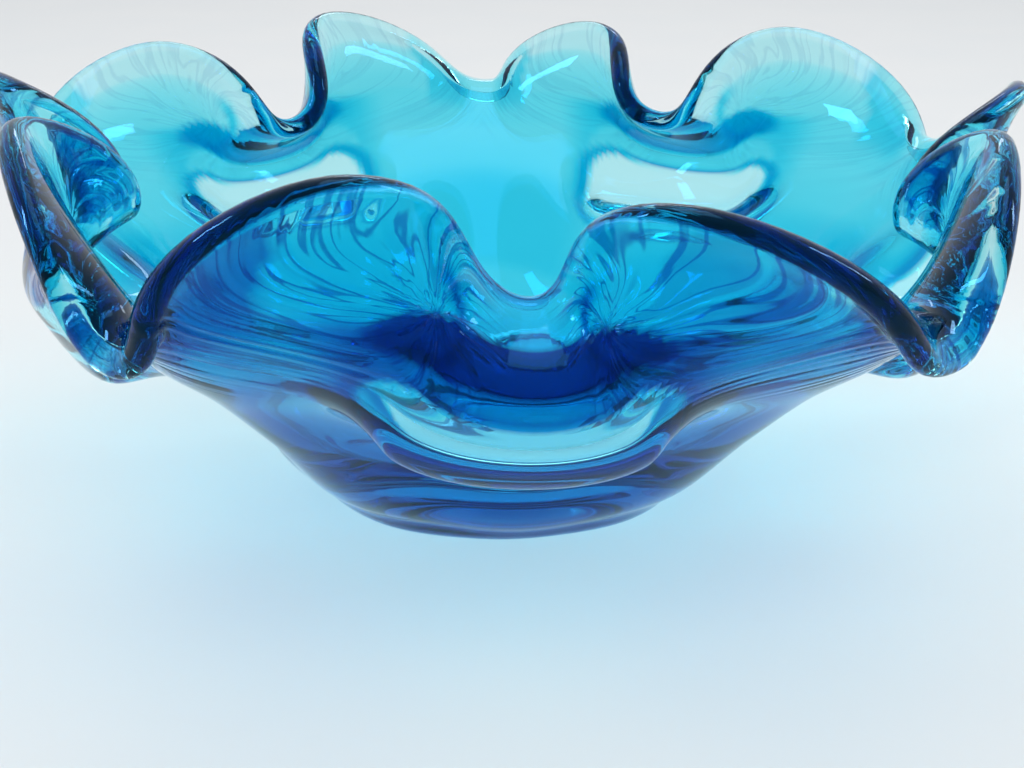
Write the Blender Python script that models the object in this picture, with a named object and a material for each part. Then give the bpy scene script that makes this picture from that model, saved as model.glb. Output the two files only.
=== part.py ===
"""Hot-formed cased art glass bowl with a five-fold ruffled rim.

The bowl is one piece of glass made of three fused gathers, and each gather is an object here:
a colourless outer casing, a turquoise colour layer and a colourless inner lining.
All three are offsets of one middle surface, which is lofted through unlike ruffled rings.
"""

import bpy
import numpy as np

# Ruffle of the rim
FOLDS = 5  # dips in the rim, and as many tips between them
HALF_FOLD = 180.0 / FOLDS  # degrees from a dip to the tip beside it
SEGMENTS_PER_HALF_FOLD = 8

# Rings of the middle surface, from the middle of the foot to the rim: radius in mm at a dip, a hump and a
# tip, height in mm at the same three, then how widely the ring is spread at its dips and tips (1 is even,
# less is pinched together), how much it is squeezed at the flanks between them and how much the end of a tip
# is rounded, and how far in mm the ring swings out beside its dips and beside its tips
RINGS = (
    ((0, 0, 0), (8, 8, 8), (1.0, 1.0, 0.0, 0.0), (0, 0)),
    ((20, 20, 20), (8, 8, 8), (1.0, 1.0, 0.0, 0.0), (0, 0)),
    ((45, 45, 44), (8, 8, 8), (1.0, 1.0, 0.0, 0.0), (0, 0)),
    ((59, 59, 63), (15, 16, 18), (1.0, 1.0, 0.0, 0.0), (0, 0)),
    ((70, 73, 82), (32, 34, 34), (1.1, 1.0, 0.0, 0.0), (0, 0)),
    ((92, 93, 102), (52, 52, 55), (1.3, 0.9, 0.0, 0.0), (0, 0)),
    ((120, 119, 118), (57, 66, 65), (1.5, 0.6, 0.1, 0.0), (0, 0)),
    ((126, 125, 130), (67, 82, 77), (1.3, 0.3, 0.2, 0.2), (-2, 1)),
    ((114, 125, 138), (75, 96, 81), (1.2, 0.2, 0.2, 0.4), (-4, 2)),
    ((104, 130, 140), (79, 106, 74), (1.2, 0.1, 0.2, 0.6), (-6, 3)),
)
TIP_END = 0.15  # half folds over which the end of a tip is rounded
DEGREE = 3  # of the B-spline through the rings

# Hand-made unevenness of the rim: place in half folds counted from the front dip, then turn in degrees,
# outward shift and lift in mm
UNEVEN = (
    (0.5, -5.0, -1.5, -2.5),
    (1.0, 0.5, 3.0, -3.0),
    (2.0, -0.4, 2.5, -2.0),
    (2.5, -2.0, 6.0, -2.0),
    (3.5, 4.0, -3.0, 0.0),
    (4.0, 2.0, -1.0, 0.5),
    (4.5, 1.0, -1.0, -3.5),
    (5.0, -1.2, 0.5, 3.0),
    (5.5, 4.0, 1.5, 0.5),
    (6.5, -1.3, -1.5, -2.0),
    (7.5, -0.5, 0.0, 2.5),
    (8.0, 0.0, -5.5, 4.0),
    (8.5, -1.0, 0.5, 4.0),
    (9.0, 0.5, 0.5, -1.0),
    (9.5, 1.0, -1.0, 3.5),
)
UNEVEN_REACH = 0.6  # half folds over which one shift fades out
UNEVEN_POWER = 2.0  # the shifts grow from the foot to the rim by this power

# Wall
WALL = 0.0082  # thickness at the rim
FOOT_RISE = 0.008  # of the middle surface over the ground foot
FOOT_THICKNESS = 0.014
FOOT_TOP = 0.45  # above this share of the way to the rim the wall has its own thickness
FOOT_BLENDED = 0.20  # below this it has the foot's
FOOT_ROW = 0.178  # row of the foot's ground edge, as a share of the way to the rim
FOOT_EDGE = 0.05  # share over which the ground face rises into the wall
BELLY_SWELL = 0.009  # extra thickness of the casing at the bellies under the dips
BELLY_AT = 0.65  # share of the way from the middle of the foot to the rim
BELLY_HEIGHT = 0.07
BELLY_WIDTH = 0.52  # half folds
BELLY_SQUARENESS = 6  # power by which a belly ends at its sides
POCKET_SHARE = 0.75  # share of a belly's swell that the layers inside the casing follow
COLOUR_SHARE = 0.26  # of the wall that is the colour layer
CASING_SHARE = 0.38  # of the wall that is the casing
GAP = 0.0005  # between two layers, which are fused on the real bowl
LIP = 0.955  # where the casing turns over the ends of the other two layers
LIP_GAP = 0.012
ROUND_STEPS = 4  # of the rounded rim

# Rows of each layer between the middle of the foot and the rim
ROWS = 12
ROW_APART = 0.03  # least distance from a row to the lip


def basis(knots, index, degree, at):
    """Value of one B-spline basis function at each place, by the Cox-de Boor recursion."""
    if degree == 0:
        last = (knots[index + 1] == knots[-1]) & (knots[index] < knots[index + 1])
        return ((at >= knots[index]) & ((at < knots[index + 1]) | last)).astype(float)
    total = np.zeros(len(at))
    rise = knots[index + degree] - knots[index]
    if rise > 0:
        total += (at - knots[index]) / rise * basis(knots, index, degree - 1, at)
    fall = knots[index + degree + 1] - knots[index + 1]
    if fall > 0:
        total += (knots[index + degree + 1] - at) / fall * basis(knots, index + 1, degree - 1, at)
    return total


def ruffled(values, turn):
    """A ring's value around the bowl, from its value at a dip, a hump and a tip."""
    dip, hump, tip = values
    mean = (dip + tip) / 4 + hump / 2
    once = (dip - tip) / 2
    twice = (dip + tip) / 4 - hump / 2
    return mean + once * np.cos(np.pi * turn) + twice * np.cos(2 * np.pi * turn)


def swung(beside_dip, beside_tip, turn):
    """Shift of a ring beside its dips and its tips, which is nothing at them and at a hump."""
    amount = np.where(np.cos(np.pi * turn) > 0, beside_dip, beside_tip)
    return amount * np.sin(2 * np.pi * turn) ** 2


def spread_turn(turn, at_dip, at_tip, squeeze, rounding):
    """Places around a ring, moved towards or away from its dips and tips, with its humps left where they are."""
    odd = (at_dip - at_tip) / (8 * np.pi)
    even = (at_dip + at_tip - 2) / (4 * np.pi)
    flank = squeeze / (4 * np.pi)
    from_tip = turn % 2 - 1
    moved = turn + odd * (np.sin(np.pi * turn) + np.sin(3 * np.pi * turn))
    moved += even * np.sin(2 * np.pi * turn) + flank * np.sin(4 * np.pi * turn)
    return moved + rounding * from_tip * np.exp(-((from_tip / TIP_END) ** 2))


def unevenness(turn):
    """Turn, outward shift and lift of the rim at each place around it."""
    shift = np.zeros((len(turn), 3))
    for place, *amounts in UNEVEN:
        away = np.abs((turn - place + FOLDS) % (2 * FOLDS) - FOLDS)
        fade = np.where(away < UNEVEN_REACH, np.cos(np.pi * away / (2 * UNEVEN_REACH)) ** 2, 0.0)
        shift += fade[:, None] * np.array(amounts)
    return shift


def middle(turn, up):
    """Points of the middle surface, on a grid of rows from the foot to the rim and places around it."""
    shift = unevenness(turn)
    rings = []
    for number, (radii, heights, spread, swing) in enumerate(RINGS):
        share = (number / (len(RINGS) - 1)) ** UNEVEN_POWER
        angle = np.radians(HALF_FOLD * spread_turn(turn, *spread) + share * shift[:, 0])
        radius = ruffled(radii, turn) + swung(*swing, turn) + share * shift[:, 1]
        height = ruffled(heights, turn) + share * shift[:, 2]
        rings.append(np.stack([radius * np.sin(angle), -radius * np.cos(angle), height], axis=-1))
    inner_knots = np.linspace(0, 1, len(RINGS) - DEGREE + 1)
    knots = np.concatenate([np.zeros(DEGREE), inner_knots, np.ones(DEGREE)])
    weights = np.stack([basis(knots, i, DEGREE, up) for i in range(len(RINGS))], axis=-1)
    return np.tensordot(weights, np.array(rings), axes=1) / 1000


def directions(turn, up):
    """Unit normals out of the bowl, and unit tangents towards the rim, of the middle surface."""
    step = 1e-4
    low, high = np.clip(up - step, 0, 1), np.clip(up + step, 0, 1)
    along = middle(turn, high) - middle(turn, low)
    around = middle(turn + step, up) - middle(turn - step, up)
    normal = np.cross(around, along)
    normal[up == 0] = (0, 0, -1)
    normal /= np.linalg.norm(normal, axis=-1, keepdims=True)
    along /= np.linalg.norm(along, axis=-1, keepdims=True)
    return normal, along


def smooth_step(start, end, at):
    """0 before start and 1 past end, with a smooth rise between them."""
    share = np.clip((at - start) / (end - start), 0, 1)
    return share * share * (3 - 2 * share)


def belly_swell(turn, up):
    """How far the outer face swells out at the bellies."""
    away = np.abs((turn + 1) % 2 - 1)
    over = np.exp(-(((up - BELLY_AT) / BELLY_HEIGHT) ** 2))
    across = np.exp(-((away / BELLY_WIDTH) ** BELLY_SQUARENESS))
    return BELLY_SWELL * over[:, None] * across


def wall_faces(turn, up):
    """How far the outer and the inner face lie from the middle surface."""
    foot = smooth_step(FOOT_TOP, FOOT_BLENDED, up)
    half = np.full((len(up), len(turn)), WALL / 2)
    outer = half + foot[:, None] * (FOOT_RISE - WALL / 2)
    inner = half + foot[:, None] * (FOOT_THICKNESS - FOOT_RISE - WALL / 2)
    swell = belly_swell(turn, up)
    return outer + swell, inner - POCKET_SHARE * swell


def layer_faces(turn, up):
    """Offsets of the faces of all three layers, from the outside in."""
    outer, inner = wall_faces(turn, up)
    colour = COLOUR_SHARE * (WALL - 2 * GAP)
    casing_in = WALL / 2 - CASING_SHARE * WALL + POCKET_SHARE * belly_swell(turn, up)
    colour_in = casing_in - GAP - colour
    return {
        "casing_out": outer,
        "casing_in": casing_in,
        "colour_out": casing_in - GAP,
        "colour_in": colour_in,
        "lining_out": colour_in - GAP,
        "lining_in": -inner,
    }


def face_rows(face, up, turn):
    """A grid of points on one face of one layer."""
    normal, _ = directions(turn, up)
    points = middle(turn, up) + normal * layer_faces(turn, up)[face][..., None]
    if face == "casing_out":
        points[..., 2] *= smooth_step(FOOT_ROW, FOOT_ROW + FOOT_EDGE, up)[:, None]
    return points


def rim_rows(turn):
    """Rows of the rounded rim, from the outer face over to the inner face."""
    rim = np.array([1.0])
    normal, along = directions(turn, rim)
    turns = np.linspace(0, np.pi, ROUND_STEPS + 1)[1:-1, None, None]
    return middle(turn, rim) + WALL / 2 * (np.cos(turns) * normal + np.sin(turns) * along)


def closed_mesh(name, rows, outward):
    """A mesh between rows that run around the bowl, whose first and last row are single points.

    The first rows, as many as outward says, run up the outer face, and the others run back down inside.
    Every quad is cut from its lower row to the next place in its higher row, so two faces that lie a small
    gap apart are cut alike.
    """
    count = rows.shape[1]
    first, last, body = rows[0, 0], rows[-1, 0], rows[1:-1]
    points = np.concatenate([[first], body.reshape(-1, 3), [last]])
    ids = np.arange(1, 1 + len(body) * count).reshape(len(body), count)
    after = np.roll(ids, -1, axis=1)
    faces = [(0, b, a) for a, b in zip(ids[0], after[0])]
    for i in range(len(body) - 1):
        if i + 1 < outward:
            faces += list(zip(ids[i], after[i], after[i + 1])) + list(zip(ids[i], after[i + 1], ids[i + 1]))
        else:
            faces += list(zip(ids[i], after[i], ids[i + 1])) + list(zip(after[i], after[i + 1], ids[i + 1]))
    faces += [(len(points) - 1, a, b) for a, b in zip(ids[-1], after[-1])]
    mesh = bpy.data.meshes.new(name)
    mesh.from_pydata(points.tolist(), [], [tuple(int(i) for i in face) for face in faces])
    mesh.update()
    mesh.shade_smooth()
    return mesh


def glass(name, colour, roughness):
    """Polished glass of one colour."""
    material = bpy.data.materials.new(name)
    material.use_nodes = True
    shader = material.node_tree.nodes["Principled BSDF"]
    shader.inputs["Base Color"].default_value = (*colour, 1)
    shader.inputs["Roughness"].default_value = roughness
    shader.inputs["Metallic"].default_value = 0
    shader.inputs["IOR"].default_value = 1.51
    material.diffuse_color = (*colour, 1)
    return material


def add(name, rows, outward, material, collection):
    """One layer as an object of its own."""
    thing = bpy.data.objects.new(name, closed_mesh(name, rows, outward))
    thing.data.materials.append(material)
    collection.objects.link(thing)
    return thing


def main():
    for thing in list(bpy.data.objects):
        bpy.data.objects.remove(thing, do_unlink=True)
    bowl = bpy.data.collections.new("art_glass_bowl")
    bpy.context.scene.collection.children.link(bowl)

    turn = np.arange(2 * FOLDS * SEGMENTS_PER_HALF_FOLD) / SEGMENTS_PER_HALF_FOLD
    foot = np.array([0.0, FOOT_ROW / 2, FOOT_ROW])
    wall = np.linspace(FOOT_ROW, 1.0, ROWS)[1:]
    up = np.concatenate([foot, wall])
    short = np.concatenate([up[up < LIP - ROW_APART], [LIP - LIP_GAP]])
    tucked = np.concatenate([short, [LIP]])

    casing = np.concatenate([
        face_rows("casing_out", up, turn),
        rim_rows(turn),
        face_rows("lining_in", np.array([1.0, LIP]), turn),
        face_rows("casing_in", tucked, turn)[::-1],
    ])
    colour = np.concatenate([face_rows("colour_out", short, turn), face_rows("colour_in", short, turn)[::-1]])
    lining = np.concatenate([face_rows("lining_out", short, turn), face_rows("lining_in", short, turn)[::-1]])

    low = casing.reshape(-1, 3).min(axis=0)
    high = casing.reshape(-1, 3).max(axis=0)
    centre = np.array([(low[0] + high[0]) / 2, (low[1] + high[1]) / 2, 0])
    casing_glass = glass("colourless_casing_glass", (0.80, 0.92, 0.95), 0.02)
    colour_glass = glass("turquoise_glass", (0.0, 0.31, 0.60), 0.05)
    lining_glass = glass("colourless_lining_glass", (0.74, 0.89, 0.93), 0.02)
    add("clear_outer_casing", casing - centre, len(up), casing_glass, bowl)
    add("blue_colour_layer", colour - centre, len(short), colour_glass, bowl)
    add("clear_inner_lining", lining - centre, len(short), lining_glass, bowl)


main()
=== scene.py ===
import math
import bpy
import numpy as np
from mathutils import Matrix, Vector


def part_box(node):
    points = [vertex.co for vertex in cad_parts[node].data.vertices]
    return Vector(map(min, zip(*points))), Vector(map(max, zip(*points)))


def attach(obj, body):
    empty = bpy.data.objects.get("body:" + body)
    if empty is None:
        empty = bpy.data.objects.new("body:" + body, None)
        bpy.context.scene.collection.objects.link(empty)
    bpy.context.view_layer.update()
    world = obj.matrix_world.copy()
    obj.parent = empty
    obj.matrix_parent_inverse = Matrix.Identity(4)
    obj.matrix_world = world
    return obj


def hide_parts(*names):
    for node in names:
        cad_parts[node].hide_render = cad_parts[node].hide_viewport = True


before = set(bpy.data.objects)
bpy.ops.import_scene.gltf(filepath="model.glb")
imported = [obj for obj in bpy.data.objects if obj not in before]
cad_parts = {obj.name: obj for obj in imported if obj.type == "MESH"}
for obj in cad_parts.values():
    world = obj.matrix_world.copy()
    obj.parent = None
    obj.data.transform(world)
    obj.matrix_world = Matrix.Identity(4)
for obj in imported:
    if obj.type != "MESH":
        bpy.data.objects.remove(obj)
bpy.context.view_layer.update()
casingLow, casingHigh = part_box("clear_outer_casing")
print("frame loaded")

# The ruffle: places around the bowl are counted in half folds from the front dip, so even places are dips of
# the rim, odd places are its pulled tips and the humps lie halfway between.
# Each ring of the middle surface holds radii in mm at a dip, a hump and a tip, heights at the same three,
# (spread at the dips, spread at the tips, squeeze at the flanks, rounding of the tips) and the swing in mm
# (beside the dips, beside the tips).
ruffle = {
    "folds": 5,
    "degree": 3,
    "tipEnd": 0.15,           # half folds over which the end of a tip is rounded
    "rings": (
        ((0, 0, 0), (8, 8, 8), (1.0, 1.0, 0.0, 0.0), (0, 0)),
        ((20, 20, 20), (8, 8, 8), (1.0, 1.0, 0.0, 0.0), (0, 0)),
        ((45, 45, 44), (8, 8, 8), (1.0, 1.0, 0.0, 0.0), (0, 0)),
        ((59, 59, 63), (15, 16, 18), (1.0, 1.0, 0.0, 0.0), (0, 0)),
        ((70, 73, 82), (32, 34, 34), (1.1, 1.0, 0.0, 0.0), (0, 0)),
        ((92, 93, 102), (52, 52, 55), (1.3, 0.9, 0.0, 0.0), (0, 0)),
        ((120, 119, 118), (57, 66, 65), (1.5, 0.6, 0.1, 0.0), (0, 0)),
        ((126, 125, 130), (67, 82, 77), (1.3, 0.3, 0.2, 0.2), (-2, 1)),
        ((114, 125, 138), (75, 96, 81), (1.2, 0.2, 0.2, 0.4), (-4, 2)),
        ((104, 130, 140), (79, 106, 74), (1.2, 0.1, 0.2, 0.6), (-6, 3)),
    ),
    # what the hand left uneven: place, turn in degrees, outward shift and lift in mm
    "uneven": (
        (0.5, -5.0, -1.5, -2.5), (1.0, 0.5, 3.0, -3.0), (2.0, -0.4, 2.5, -2.0), (2.5, -2.0, 6.0, -2.0),
        (3.5, 4.0, -3.0, 0.0), (4.0, 2.0, -1.0, 0.5), (4.5, 1.0, -1.0, -3.5), (5.0, -1.2, 0.5, 3.0),
        (5.5, 4.0, 1.5, 0.5), (6.5, -1.3, -1.5, -2.0), (7.5, -0.5, 0.0, 2.5), (8.0, 0.0, -5.5, 4.0),
        (8.5, -1.0, 0.5, 4.0), (9.0, 0.5, 0.5, -1.0), (9.5, 1.0, -1.0, 3.5),
    ),
    "unevenReach": 0.6,
    "unevenPower": 2.0,
}
halfFold = 180.0 / ruffle["folds"]      # degrees


# B-spline basis by the Cox-de Boor recursion: each basis function is a rising share of the one below it plus
# a falling share of its neighbour.
def splineBasis(knots, index, degree, at):
    if degree == 0:
        last = (knots[index + 1] == knots[-1]) & (knots[index] < knots[index + 1])
        return ((at >= knots[index]) & ((at < knots[index + 1]) | last)).astype(float)
    total = np.zeros(len(at))
    rise = knots[index + degree] - knots[index]
    if rise > 0:
        total += (at - knots[index]) / rise * splineBasis(knots, index, degree - 1, at)
    fall = knots[index + degree + 1] - knots[index + 1]
    if fall > 0:
        total += (knots[index + degree + 1] - at) / fall * splineBasis(knots, index + 1, degree - 1, at)
    return total


# mean + once * cos(pi t) + twice * cos(2 pi t), which passes through the values at dip, hump and tip
def ruffledValue(values, turn):
    dip, hump, tip = values
    mean = (dip + tip) / 4 + hump / 2
    once = (dip - tip) / 2
    twice = (dip + tip) / 4 - hump / 2
    return mean + once * np.cos(np.pi * turn) + twice * np.cos(2 * np.pi * turn)


# sin squared of 2 pi t, times the swing beside the nearer of a dip and a tip
def swungShift(besideDip, besideTip, turn):
    amount = np.where(np.cos(np.pi * turn) > 0, besideDip, besideTip)
    return amount * np.sin(2 * np.pi * turn) ** 2


# t plus sines of pi t, 2 pi t, 3 pi t and 4 pi t, and a rounding term d * exp(-(d / tipEnd)^2) at each tip
def spreadTurn(turn, atDip, atTip, squeeze, rounding):
    odd = (atDip - atTip) / (8 * np.pi)
    even = (atDip + atTip - 2) / (4 * np.pi)
    flank = squeeze / (4 * np.pi)
    fromTip = turn % 2 - 1
    moved = turn + odd * (np.sin(np.pi * turn) + np.sin(3 * np.pi * turn))
    moved += even * np.sin(2 * np.pi * turn) + flank * np.sin(4 * np.pi * turn)
    return moved + rounding * fromTip * np.exp(-((fromTip / ruffle["tipEnd"]) ** 2))


# turn, outward shift and lift at each place, each fading out as a squared cosine
def unevenShift(turn):
    reach, whole = ruffle["unevenReach"], ruffle["folds"]
    shift = np.zeros((len(turn), 3))
    for place, *amounts in ruffle["uneven"]:
        away = np.abs((turn - place + whole) % (2 * whole) - whole)
        fade = np.where(away < reach, np.cos(np.pi * away / (2 * reach)) ** 2, 0.0)
        shift += fade[:, None] * np.array(amounts)
    return shift


# The middle surface: a cubic B-spline from foot to rim through the ruffled rings, on a grid of up by turn.
def middleSurface(turn, up):
    shift = unevenShift(turn)
    rings = []
    for number, (radii, heights, spread, swing) in enumerate(ruffle["rings"]):
        share = (number / (len(ruffle["rings"]) - 1)) ** ruffle["unevenPower"]
        angle = np.radians(halfFold * spreadTurn(turn, *spread) + share * shift[:, 0])
        radius = ruffledValue(radii, turn) + swungShift(*swing, turn) + share * shift[:, 1]
        height = ruffledValue(heights, turn) + share * shift[:, 2]
        rings.append(np.stack([radius * np.sin(angle), -radius * np.cos(angle), height], axis=-1))
    degree, count = ruffle["degree"], len(rings)
    knots = np.concatenate([np.zeros(degree), np.linspace(0, 1, count - degree + 1), np.ones(degree)])
    weights = np.stack([splineBasis(knots, i, degree, up) for i in range(count)], axis=-1)
    return np.tensordot(weights, np.array(rings), axes=1) / 1000


# Unit normals out of the bowl and unit tangents towards the rim, by central differences.
def surfaceDirections(turn, up):
    step = 1e-4
    low, high = np.clip(up - step, 0, 1), np.clip(up + step, 0, 1)
    along = middleSurface(turn, high) - middleSurface(turn, low)
    around = middleSurface(turn + step, up) - middleSurface(turn - step, up)
    normal = np.cross(around, along)
    normal[up == 0] = (0, 0, -1)
    normal /= np.linalg.norm(normal, axis=-1, keepdims=True)
    along /= np.linalg.norm(along, axis=-1, keepdims=True)
    return normal, along


def smoothStep(low, high, at):
    share = np.clip((at - low) / (high - low), 0, 1)
    return share * share * (3 - 2 * share)


def fromDip(turn):
    return np.abs((turn + 1) % 2 - 1)


def fromTip(turn):
    return np.abs(turn % 2 - 1)


# 1 inside a rounded box of half sizes 1 by 1 and 0 outside it, with a soft edge: the cube root of
# |x|^3 + |y|^3 is compared with 1.
def roundedBox(x, y, edge):
    return smoothStep(1 + edge, 1 - edge, np.cbrt(np.abs(x) ** 3 + np.abs(y) ** 3))


# The wall of the glass: how thick it is and how it swells into the bellies under the dips.
wall = {
    "thickness": 0.0082,
    "rimThickness": 0.0062,
    "thinFrom": 0.88,          # share of the way to the rim where the wall starts to thin
    "footRise": 0.008,
    "footThickness": 0.014,
    "footRow": 0.178,          # share of the way to the rim where the ground foot ends
    "footEdge": 0.05,
    "footBlend": (0.45, 0.20),
    "footHollow": 0.0004,      # how far the ground foot is hollowed inside its edge
    "hollowEnd": 0.8,          # share of the foot where it is fully hollowed
    "bellySwell": 0.009,
    "pocket": 0.75,            # share of the swell that the inner face follows
    "bellyAt": 0.65,
    "bellyHeight": 0.07,
    "bellyWidth": 0.52,        # half folds
    "bellySquareness": 6,
    "turns": 400,
    "rows": 100,
    "roundRows": 15,
}


# How far a belly stands out, in metres: exp(-((up - at) / height)^2) * exp(-(away / width)^squareness)
def bellySwell(turn, up):
    over = np.exp(-(((up - wall["bellyAt"]) / wall["bellyHeight"]) ** 2))
    across = np.exp(-((fromDip(turn) / wall["bellyWidth"]) ** wall["bellySquareness"]))
    return wall["bellySwell"] * over[:, None] * across


# Offsets of the outer and the inner face from the middle surface, in metres: half the wall, which thins
# towards the rim and blends into the foot, plus the swell of a belly, which the inner face follows in part.
def wallOffsets(turn, up):
    foot = smoothStep(*wall["footBlend"], up)
    half = np.full((len(up), len(turn)), wall["thickness"] / 2)
    half += (wall["rimThickness"] - wall["thickness"]) / 2 * smoothStep(wall["thinFrom"], 1.0, up)[:, None]
    outer = half + foot[:, None] * (wall["footRise"] - wall["thickness"] / 2)
    inner = half + foot[:, None] * (wall["footThickness"] - wall["footRise"] - wall["thickness"] / 2)
    swell = bellySwell(turn, up)
    return outer + swell, inner - wall["pocket"] * swell


# A closed mesh of quads between rows that run around the bowl. Its first and its last row are one point each.
def closedMesh(name, rows):
    count = rows.shape[1]
    body = rows[1:-1]
    points = np.concatenate([rows[:1, 0], body.reshape(-1, 3), rows[-1:, 0]])
    ids = np.arange(1, 1 + len(body) * count).reshape(len(body), count)
    after = np.roll(ids, -1, axis=1)
    quads = np.stack([ids[:-1], after[:-1], after[1:], ids[1:]], axis=-1).reshape(-1, 4)
    firstFan = np.stack([np.zeros(count, int), after[0], ids[0]], axis=-1)
    lastFan = np.stack([np.full(count, len(points) - 1), ids[-1], after[-1]], axis=-1)
    mesh = bpy.data.meshes.new(name)
    mesh.from_pydata(points.tolist(), [], firstFan.tolist() + quads.tolist() + lastFan.tolist())
    mesh.shade_smooth()
    thing = bpy.data.objects.new(name, mesh)
    bpy.context.scene.collection.objects.link(thing)
    return thing


def writeVectors(thing, name, rows):
    values = np.concatenate([rows[:1, 0], rows[1:-1].reshape(-1, 3), rows[-1:, 0]])
    attribute = thing.data.attributes.new(name, "FLOAT_VECTOR", "POINT")
    attribute.data.foreach_set("vector", values.astype(np.float32).ravel())


def writeColors(thing, name, rows):
    values = np.concatenate([rows[:1, 0], rows[1:-1].reshape(-1, 3), rows[-1:, 0]])
    attribute = thing.data.attributes.new(name, "FLOAT_COLOR", "POINT")
    attribute.data.foreach_set("color", np.insert(values, 3, 1.0, axis=1).astype(np.float32).ravel())


# sRGB hex to linear: c / 12.92 below 0.04045, ((c + 0.055) / 1.055) ^ 2.4 above
def hexColor(code):
    parts = np.array([int(code[i:i + 2], 16) for i in (1, 3, 5)]) / 255
    linear = np.where(parts <= 0.04045, parts / 12.92, ((parts + 0.055) / 1.055) ** 2.4)
    return (*linear.tolist(), 1.0)


def addNode(tree, kind, settings=None, **links):
    node = tree.nodes.new(kind)
    for key, value in (settings or {}).items():
        if isinstance(key, int) or key in node.inputs:
            node.inputs[key].default_value = value
        else:
            setattr(node, key, value)
    for key, source in links.items():
        target = int(key[1:]) if key[0] == "i" and key[1:].isdigit() else key.replace("_", " ")
        tree.links.new(source, node.inputs[target])
    return node


def newMaterial(name):
    material = bpy.data.materials.new(name)
    material.use_nodes = True
    material.node_tree.nodes.clear()
    output = addNode(material.node_tree, "ShaderNodeOutputMaterial")
    return material, material.node_tree, output


# What a millimetre of the turquoise takes out of red, green and blue light, as the exponent of a decay
turquoise = np.array([0.525, 0.072, 0.027])


# Soda-lime glass, gathered hot and fire-polished: mirror smooth, stained where the turquoise was dragged up
# against its face, with painted shade under the pinched lips and round the windows, with streaks that run out
# of the pinched dips and hook towards the rim, and with the slight waviness that pulling leaves. Its head-on
# reflections are tinted towards the blue of the wall.
glassLook = {
    "ior": 1.5,
    "reflection": "#3fb4ff",
    "streakColor": "#0a62b0",
    "broadScale": 0.13,            # streaks about 8 mm apart at 14 mm from a pinch, wider farther out
    "broadDetail": 1.0, "broadRoughness": 0.4,
    "broadFrom": 0.50, "broadTo": 0.56, "broadAmount": 0.55,
    "fineScale": 0.26,             # half as far apart as the broad ones
    "fineDetail": 1.5, "fineRoughness": 0.45,
    "fineMiddle": 0.5, "fineFrom": 0.042, "fineTo": 0.008, "fineAmount": 0.9,
    "distortion": 1.2,
    "waviness": 0.5, "waveHeight": 0.002,
}


def fireGlass():
    look = glassLook
    material, tree, output = newMaterial("firePolishedGlass")
    tintPlace = addNode(tree, "ShaderNodeAttribute", {"attribute_name": "tint"})
    flowPlace = addNode(tree, "ShaderNodeAttribute", {"attribute_name": "flow"})
    pullPlace = addNode(tree, "ShaderNodeAttribute", {"attribute_name": "pull"})
    pulled = addNode(tree, "ShaderNodeSeparateXYZ", Vector=pullPlace.outputs["Vector"])
    broad = addNode(tree, "ShaderNodeTexNoise", {
        "noise_dimensions": "4D", "Scale": look["broadScale"], "Detail": look["broadDetail"],
        "Roughness": look["broadRoughness"], "Distortion": look["distortion"]},
        Vector=flowPlace.outputs["Vector"], W=pulled.outputs["Y"])
    fine = addNode(tree, "ShaderNodeTexNoise", {
        "noise_dimensions": "4D", "Scale": look["fineScale"], "Detail": look["fineDetail"],
        "Roughness": look["fineRoughness"], "Distortion": look["distortion"]},
        Vector=flowPlace.outputs["Vector"], W=pulled.outputs["Y"])
    broadBand = addNode(tree, "ShaderNodeMapRange", {
        "interpolation_type": "SMOOTHSTEP", "From Min": look["broadFrom"], "From Max": look["broadTo"],
        "To Max": look["broadAmount"]}, Value=broad.outputs[0])
    fromMiddle = addNode(tree, "ShaderNodeMath", {"operation": "SUBTRACT", 1: look["fineMiddle"]},
                         i0=fine.outputs[0])
    aside = addNode(tree, "ShaderNodeMath", {"operation": "ABSOLUTE"}, i0=fromMiddle.outputs["Value"])
    fineBand = addNode(tree, "ShaderNodeMapRange", {
        "interpolation_type": "SMOOTHSTEP", "From Min": look["fineFrom"], "From Max": look["fineTo"],
        "To Max": look["fineAmount"]}, Value=aside.outputs["Value"])
    both = addNode(tree, "ShaderNodeMath", {"operation": "ADD", "use_clamp": True},
                   i0=fineBand.outputs["Result"], i1=broadBand.outputs["Result"])
    amount = addNode(tree, "ShaderNodeMath", {"operation": "MULTIPLY", "use_clamp": True},
                     i0=both.outputs["Value"], i1=pulled.outputs["X"])
    stained = addNode(tree, "ShaderNodeMix", {
        "data_type": "RGBA", "blend_type": "MULTIPLY", 7: hexColor(look["streakColor"])},
        i0=amount.outputs["Value"], i6=tintPlace.outputs["Color"])
    height = addNode(tree, "ShaderNodeMath", {"operation": "MULTIPLY"},
                     i0=broad.outputs[0], i1=pulled.outputs["X"])
    wavy = addNode(tree, "ShaderNodeBump", {"Strength": look["waviness"], "Distance": look["waveHeight"]},
                   Height=height.outputs["Value"])
    shader = addNode(tree, "ShaderNodeBsdfPrincipled", {
        "Roughness": 0.0, "IOR": look["ior"], "Transmission Weight": 1.0,
        "Specular Tint": hexColor(look["reflection"])},
        Base_Color=stained.outputs[2], Normal=wavy.outputs["Normal"])
    tree.links.new(shader.outputs["BSDF"], output.inputs["Surface"])
    return material


# Turquoise glass between the clear gathers: it has no surface of its own to see, and only takes the red and
# some of the green out of the light that crosses it.
def colourGlass():
    material, tree, output = newMaterial("turquoiseGather")
    perMetre = turquoise * 1000
    surface = addNode(tree, "ShaderNodeBsdfTransparent")
    volume = addNode(tree, "ShaderNodeVolumeAbsorption", {
        "Color": (*(1 - perMetre / perMetre[0]).tolist(), 1), "Density": float(perMetre[0])})
    tree.links.new(surface.outputs["BSDF"], output.inputs["Surface"])
    tree.links.new(volume.outputs["Volume"], output.inputs["Volume"])
    return material


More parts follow.
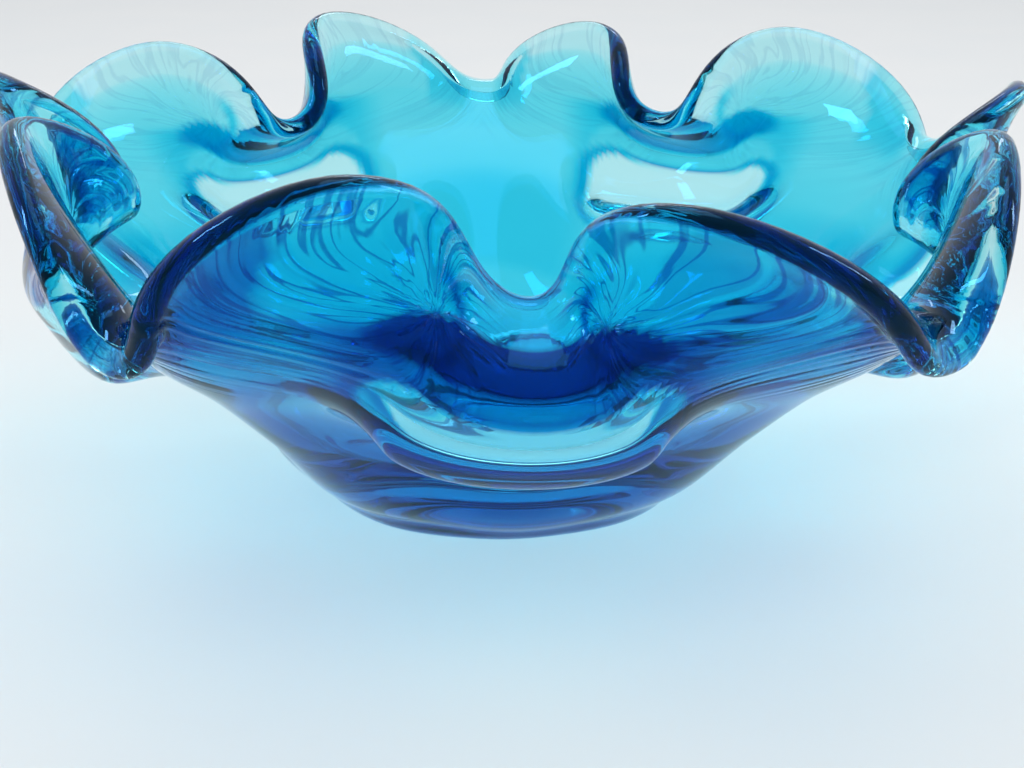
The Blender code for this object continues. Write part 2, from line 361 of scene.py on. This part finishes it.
# Matt lacquered board: pale and even, with a faint cloudiness of the spray, about 8 cm from cloud to cloud
board = {"size": 6.0, "cloudScale": 12.0, "cloudDetail": 2.0, "dark": "#e0e2e3", "light": "#e6e6e5",
         "smooth": 0.50, "rough": 0.62}


def paleTable():
    material, tree, output = newMaterial("mattLacqueredBoard")
    place = addNode(tree, "ShaderNodeTexCoord")
    cloud = addNode(tree, "ShaderNodeTexNoise", {
        "Scale": board["cloudScale"], "Detail": board["cloudDetail"]}, Vector=place.outputs["Object"])
    tone = addNode(tree, "ShaderNodeMix", {
        "data_type": "RGBA", 6: hexColor(board["dark"]), 7: hexColor(board["light"])}, i0=cloud.outputs[0])
    rough = addNode(tree, "ShaderNodeMapRange", {"To Min": board["smooth"], "To Max": board["rough"]},
                    Value=cloud.outputs[0])
    shader = addNode(tree, "ShaderNodeBsdfPrincipled",
                     Base_Color=tone.outputs[2], Roughness=rough.outputs["Result"])
    tree.links.new(shader.outputs["BSDF"], output.inputs["Surface"])
    return material


# Where the colour lies. The window of a belly is where the turquoise is stretched thin; the lip is the roll
# between a window and its pinched dip, darkened with painted shade for the dark hollow and the reflected dark
# inside under the roll; the shoulder is the wall round a window; the curl is the ring beside a pinch; the
# shade ring is a painted dark outline round a window; a tip's width is how far its folded part reaches.
# Heights are shares of the way to the rim and widths are in half folds, where no other unit is given.
zones = {
    "windowAts": (0.69, 0.68, 0.655, 0.655, 0.68), "windowHeight": 0.110, "windowWidth": 0.49,
    "windowEdge": 0.05, "ring": 1.10,
    "lipAt": 0.886, "lipDrop": 0.05, "lipHeight": 0.040, "lipWidth": 0.45, "lipEdge": 0.08,
    "shoulderTop": 0.86, "shoulderTopEdge": 0.02, "shoulderFoot": (0.60, 0.66),
    "shoulderWidth": 0.62, "shoulderSideEdge": 0.15,
    "curlRadius": 11.0, "curlWidth": 2.2, "curlSide": (4, -4),         # mm
    "tipWidths": (0.27, 0.33, 0.30, 0.33, 0.41), "tipEdge": 0.02,
    "tipNarrowing": 0.05, "tipNarrows": (0.99, 0.90), "tipMiddle": (0.03, 0.12), "tipStart": (0.80, 0.90),
    "foldAt": 0.865, "foldEdge": 0.01, "foldStart": (0.75, 0.80),
    "rimStart": (0.96, 0.99), "lowWall": (0.66, 0.55),
    "flankStart": (0.40, 0.44), "flankEnd": (0.66, 0.58), "flankSide": (0.7, 0.4),
    "pulledSide": (-0.5, 0.35),        # cosines of the way round from the front dip
}


def windowMask(turn, up, size=1.0):
    centre = np.array(zones["windowAts"])[((turn + 1) // 2 % ruffle["folds"]).astype(int)][None]
    x = fromDip(turn)[None] / zones["windowWidth"] / size
    y = (up[:, None] - centre) / zones["windowHeight"] / size
    return roundedBox(x, y, zones["windowEdge"])


# The lip drops away from its dip by lipDrop * (away / width)^2.
def lipMask(turn, up, edge):
    x = fromDip(turn)[None] / zones["lipWidth"]
    y = (up[:, None] - zones["lipAt"] + zones["lipDrop"] * x ** 2) / zones["lipHeight"]
    return roundedBox(x, y, edge)


# 1 round the folds that were pulled hardest, 0 on the far side
def pulledSide(turn):
    return smoothStep(*zones["pulledSide"], np.cos(np.pi * turn / ruffle["folds"]))[None]


# The flow of the stained glass on the outer face: polar coordinates (distance, angle) in mm about the pinch
# beside the nearest dip, unwrapped, with angle - bend * distance^2 as the place across the streaks.
flow = {
    "pinchAt": 0.30, "pinchUp": 0.895,               # half folds from the dip, share of the way to the rim
    "pinchRadius": 2.0,                              # mm, keeps the distance above nothing
    "halfFoldWidth": 88.0, "wallHeight": 205.0,      # mm
    "bend": 0.0009, "across": 14.0, "along": 2.5,
    "wave": 0.10, "waveLength": 5.0, "waveShift": 3, "waveStart": (6, 20),
    "farStrength": 0.25, "strengthStart": (0.66, 0.84), "dipGap": (0.04, 0.16),
    "foldDrift": 2.0, "roundDrift": 3.0, "driftShift": 0.7,
}


# x and y in mm from the pinch, and the distance: the root of x^2 + y^2 + pinchRadius^2
def pinchPlace(turn, up):
    x = (fromDip(turn)[None] - flow["pinchAt"]) * flow["halfFoldWidth"]
    y = (up[:, None] - flow["pinchUp"]) * flow["wallHeight"]
    return x, y, np.sqrt(x ** 2 + y ** 2 + flow["pinchRadius"] ** 2)


# Depth of the stain in mm of turquoise: what each zone adds to that of the wall. The lip's depth is painted
# shade for the dark under the pinched roll, laid over the real thickening of the gather there, and the shade
# ring is a painted dark outline round each window. The far side, which was pulled least, keeps farShare of
# it.
stainAndShade = {
    "wall": 3.0, "rimLess": 1.0, "lowWall": 1.8, "flank": 7.0, "tip": 13.0, "fold": 2.0, "lip": 42.0,
    "curl": 20.0, "shoulder": 13.0, "ring": 8.0, "everywhere": 0.5, "lining": 0.4, "farShare": 0.2,
}


def stainAndShadeDepth(turn, up):
    tip, level = fromTip(turn)[None], up[:, None]
    depth = stainAndShade["wall"] - stainAndShade["rimLess"] * smoothStep(*zones["rimStart"], level)
    depth = depth + stainAndShade["lowWall"] * smoothStep(*zones["lowWall"], level)
    flank = stainAndShade["flank"] * smoothStep(*zones["flankStart"], level) * smoothStep(*zones["flankEnd"], level)
    depth = depth + flank * smoothStep(*zones["flankSide"], tip)
    width = np.array(zones["tipWidths"])[(turn // 2 % ruffle["folds"]).astype(int)][None]
    width = width - zones["tipNarrowing"] * smoothStep(*zones["tipNarrows"], level)
    folded = smoothStep(width + zones["tipEdge"], width, tip) * smoothStep(*zones["tipMiddle"], tip)
    depth = depth + stainAndShade["tip"] * folded * smoothStep(*zones["tipStart"], level)
    below = smoothStep(zones["foldAt"] + zones["foldEdge"], zones["foldAt"] - zones["foldEdge"], level)
    depth = depth + stainAndShade["fold"] * below * smoothStep(*zones["foldStart"], level)
    # painted shade: the lip's large depth darkens the skin under the pinched roll, where the hollow and the
    # reflected dark inside show
    depth = depth + stainAndShade["lip"] * lipMask(turn, up, zones["lipEdge"])
    x, y, distance = pinchPlace(turn, up)
    curl = np.exp(-(((distance - zones["curlRadius"]) / zones["curlWidth"]) ** 2))
    depth = depth + stainAndShade["curl"] * (curl * smoothStep(*zones["curlSide"], x))
    sideEnd = zones["shoulderWidth"] - zones["shoulderSideEdge"]
    side = smoothStep(zones["shoulderWidth"], sideEnd, fromDip(turn))
    shoulder = stainAndShade["shoulder"] * side[None] * smoothStep(*zones["shoulderFoot"], level)
    top = smoothStep(zones["shoulderTop"], zones["shoulderTop"] - zones["shoulderTopEdge"], level)
    depth = depth + shoulder * top
    depth = depth * (stainAndShade["farShare"] + (1 - stainAndShade["farShare"]) * pulledSide(turn))
    # painted shade: a dark outline just outside each window, for the darker surroundings seen refracted at
    # its edge
    depth = depth + stainAndShade["ring"] * windowMask(turn, up, zones["ring"])
    return depth * (1 - windowMask(turn, up)) + stainAndShade["everywhere"]


# The angle also sways by wave * sin(distance / waveLength + waveShift * turn). The result is
# across * cos(angle), across * sin(angle) and along * log(distance), so that streaks stretch outwards.
def flowField(turn, up):
    x, y, distance = pinchPlace(turn, up)
    angle = np.arctan2(y, x) - flow["bend"] * distance ** 2
    sway = flow["wave"] * np.sin(distance / flow["waveLength"] + flow["waveShift"] * turn[None])
    angle = angle + sway * smoothStep(*flow["waveStart"], distance)
    return np.stack([flow["across"] * np.cos(angle), flow["across"] * np.sin(angle),
                     flow["along"] * np.log(distance)], axis=-1)


# Strength of the streaks and a slow drift that makes no two folds alike: one sine of each fold and one of the
# whole way round.
def pullField(turn, up):
    strength = flow["farStrength"] + (1 - flow["farStrength"]) * pulledSide(turn)
    strength = strength * smoothStep(*flow["strengthStart"], up)[:, None] * (1 - windowMask(turn, up))
    strength = strength * smoothStep(*flow["dipGap"], fromDip(turn))[None]
    drift = flow["foldDrift"] * np.sin(np.pi * turn)
    drift = drift + flow["roundDrift"] * np.sin(np.pi * turn / ruffle["folds"] + flow["driftShift"])
    drift = np.broadcast_to(drift[None], strength.shape)
    return np.stack([strength, drift, np.zeros_like(strength)], axis=-1)


turn = np.arange(wall["turns"]) * 2 * ruffle["folds"] / wall["turns"]
up = np.linspace(0, 1, wall["rows"] + 1)
normal, along = surfaceDirections(turn, up)
middle = middleSurface(turn, up)
outerOffset, innerOffset = wallOffsets(turn, up)
# The outer face is flattened onto the floor over the foot and hollowed a little inside the foot's edge
outerFace = middle + normal * outerOffset[..., None]
outerFace[..., 2] *= smoothStep(wall["footRow"], wall["footRow"] + wall["footEdge"], up)[:, None]
hollowed = smoothStep(wall["footRow"], wall["hollowEnd"] * wall["footRow"], up)
outerFace[..., 2] += wall["footHollow"] * hollowed[:, None]
innerFace = middle - normal * innerOffset[..., None]
# The rim is a half round from the outer face to the inner one
bend = np.linspace(0, np.pi, wall["roundRows"] + 2)[1:-1, None, None]
rimFace = middle[-1:] + wall["rimThickness"] / 2 * (np.cos(bend) * normal[-1:] + np.sin(bend) * along[-1:])
skinRows = np.concatenate([outerFace, rimFace, innerFace[::-1]])
# The bowl is centred in the CAD casing's box
corner = skinRows.reshape(-1, 3)
shift = np.array([
    (casingLow[0] + casingHigh[0] - corner[:, 0].min() - corner[:, 0].max()) / 2,
    (casingLow[1] + casingHigh[1] - corner[:, 1].min() - corner[:, 1].max()) / 2,
    0.0])
skin = closedMesh("glass_skin", skinRows + shift)

# Over the rim the stain and the streaks fade out, and the lining has only a faint stain. The
# tint is the colour of twice the depth.
rimAt = wall["rows"] + 1
rimEnd = rimAt + wall["roundRows"]
rimBeyond = 0.03                # how far the streaks run on over the rim
depth = stainAndShadeDepth(turn, up)
fade = np.linspace(0.5, 0, wall["roundRows"])[:, None]
rimDepth = fade * (depth[-1:] - stainAndShade["everywhere"]) + stainAndShade["everywhere"]
depth = np.concatenate([depth, rimDepth, np.full_like(depth, stainAndShade["lining"])])
tint = np.exp(-2 * depth[..., None] * turquoise)
upAll = np.concatenate([up, np.linspace(1.0, 1.0 + rimBeyond, wall["roundRows"]), up[::-1]])
flowRows = flowField(turn, upAll)
pullRows = pullField(turn, upAll)
pullRows[rimEnd:, :, 0] = 0
pullRows[rimAt:rimEnd, :, 0] *= np.linspace(1, 0, wall["roundRows"])[:, None]
writeColors(skin, "tint", tint)
writeVectors(skin, "flow", flowRows)
writeVectors(skin, "pull", pullRows)
skin.data.materials.append(fireGlass())
skin.visible_shadow = False
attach(skin, "root")
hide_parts("clear_outer_casing", "clear_inner_lining")
print("skin", len(skin.data.polygons))

# The turquoise gather, which ends short of the rim. Its thickness in mm: what it is low in the bowl and high
# up, and what the pinched lips over the bellies add. In the windows it is down to the least.
core = {
    "turns": 340, "rows": 110, "stop": 0.965, "taper": 0.08,
    "windowAt": 0.69, "windowHeight": 0.145, "windowWidth": 0.49,
    "low": 3.4, "high": 2.0, "thins": (0.50, 0.85), "lip": 3.0, "lipEdge": 0.3, "least": 0.5, "most": 7.0,
    "endShare": 0.01,          # least share of its thickness, under a root, at its end
}


def colourThickness(turn, up):
    thick = core["low"] + (core["high"] - core["low"]) * smoothStep(*core["thins"], up[:, None])
    x = fromDip(turn)[None] / core["windowWidth"]
    window = roundedBox(x, (up[:, None] - core["windowAt"]) / core["windowHeight"], zones["windowEdge"])
    thick = (thick + core["lip"] * lipMask(turn, up, core["lipEdge"])) * (1 - window)
    return np.clip(thick, core["least"], core["most"]) / 1000


coreTurn = np.arange(core["turns"]) * 2 * ruffle["folds"] / core["turns"]
coreUp = np.linspace(0, core["stop"], core["rows"] + 1)
coreMiddle = middleSurface(coreTurn, coreUp)
coreNormal = surfaceDirections(coreTurn, coreUp)[0]
coreMiddle += coreNormal * (wall["pocket"] * bellySwell(coreTurn, coreUp))[..., None]
coreHalf = colourThickness(coreTurn, coreUp) / 2
coreHalf *= np.sqrt(np.clip((core["stop"] - coreUp) / core["taper"], core["endShare"], 1))[:, None]
coreOuter = coreMiddle + coreNormal * coreHalf[..., None]
coreInner = coreMiddle - coreNormal * coreHalf[..., None]
coreRows = np.concatenate([coreOuter, coreInner[::-1]])
gather = closedMesh("turquoise_gather", coreRows + shift)
gather.data.materials.append(colourGlass())
gather.visible_shadow = False
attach(gather, "root")
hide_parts("blue_colour_layer")
print("gather", len(gather.data.polygons))

edge = board["size"] / 2
floorCorners = [(-edge, -edge, 0), (edge, -edge, 0), (edge, edge, 0), (-edge, edge, 0)]
floorMesh = bpy.data.meshes.new("floor")
floorMesh.from_pydata(floorCorners, [], [(0, 1, 2, 3)])
floor = bpy.data.objects.new("floor", floorMesh)
bpy.context.scene.collection.objects.link(floor)
floor.data.materials.append(paleTable())
print("floor laid")

# The camera: metres from the bowl's axis and above the floor, angles in radians, lens in mm
view = {"distance": 0.4047, "height": 0.1789, "pitch": 0.367, "yaw": 0.008, "bowlTurn": 0.054, "lens": 54.49}
camera = bpy.data.objects.new("camera", bpy.data.cameras.new("camera"))
bpy.context.scene.collection.objects.link(camera)
camera.location = (
    shift[0] - view["distance"] * math.sin(view["bowlTurn"]),
    shift[1] - view["distance"] * math.cos(view["bowlTurn"]),
    view["height"])
camera.rotation_euler = (math.pi / 2 - view["pitch"], 0, -view["yaw"] - view["bowlTurn"])
camera.data.sensor_width = 36
camera.data.lens = view["lens"]
camera.data.clip_start = 0.01
bpy.context.scene.camera = camera
print("camera placed")


def softLight(name, place, target, size, power, color):
    data = bpy.data.lights.new(name, "AREA")
    data.shape = "RECTANGLE"
    data.size, data.size_y = size
    data.energy = power
    data.color = hexColor(color)[:3]
    thing = bpy.data.objects.new(name, data)
    bpy.context.scene.collection.objects.link(thing)
    thing.location = place
    away = np.array(target, float) - np.array(place, float)
    away /= np.linalg.norm(away)
    thing.rotation_euler = (math.acos(-away[2]), 0, math.atan2(away[1], away[0]) - math.pi / 2)


# place and target in m, size in m, watts
studio = {
    "topSoftbox": ((0.1, 0.0, 1.5), (0, 0, 0), (0.9, 0.6), 3.0),
    "leftSoftbox": ((-0.9, -0.3, 0.8), (0, 0, 0.05), (0.12, 0.4), 3.0),
    "rightSoftbox": ((0.9, -0.1, 0.7), (0, 0, 0.05), (0.12, 0.4), 1.7),
    "backSoftbox": ((0.1, 1.1, 0.9), (0, 0, 0.05), (0.6, 0.12), 1.0),
}
for name, (place, target, size, power) in studio.items():
    softLight(name, place, target, size, power, "#ffffff")

# The walls of the studio: pale all round and overhead, dimmer low and on the camera's side
backdrop = {"color": "#f3f6f9", "bright": (0.0, 0.72, 0.69), "from": -0.6, "to": 0.5,
            "dim": 0.62, "full": 0.90}
world = bpy.data.worlds.new("studio")
bpy.context.scene.world = world
world.use_nodes = True
tree = world.node_tree
tree.nodes.clear()
sky = addNode(tree, "ShaderNodeTexCoord")
lean = addNode(tree, "ShaderNodeVectorMath", {"operation": "DOT_PRODUCT", 1: backdrop["bright"]},
               i0=sky.outputs["Generated"])
ramp = addNode(tree, "ShaderNodeMapRange", {
    "interpolation_type": "SMOOTHSTEP", "From Min": backdrop["from"], "From Max": backdrop["to"],
    "To Min": backdrop["dim"], "To Max": backdrop["full"]}, i0=lean.outputs["Value"])
glow = addNode(tree, "ShaderNodeBackground", {"Color": hexColor(backdrop["color"])},
               Strength=ramp.outputs["Result"])
addNode(tree, "ShaderNodeOutputWorld", Surface=glow.outputs["Background"])
print("lights placed")

scene = bpy.context.scene
scene.view_settings.view_transform = "Standard"
scene.cycles.max_bounces = 32
scene.cycles.transmission_bounces = 24
scene.cycles.transparent_max_bounces = 32
scene.cycles.glossy_bounces = 8
scene.cycles.diffuse_bounces = 4
scene.cycles.caustics_refractive = True
scene.cycles.caustics_reflective = True
scene.cycles.blur_glossy = 1.0
scene.cycles.use_denoising = True
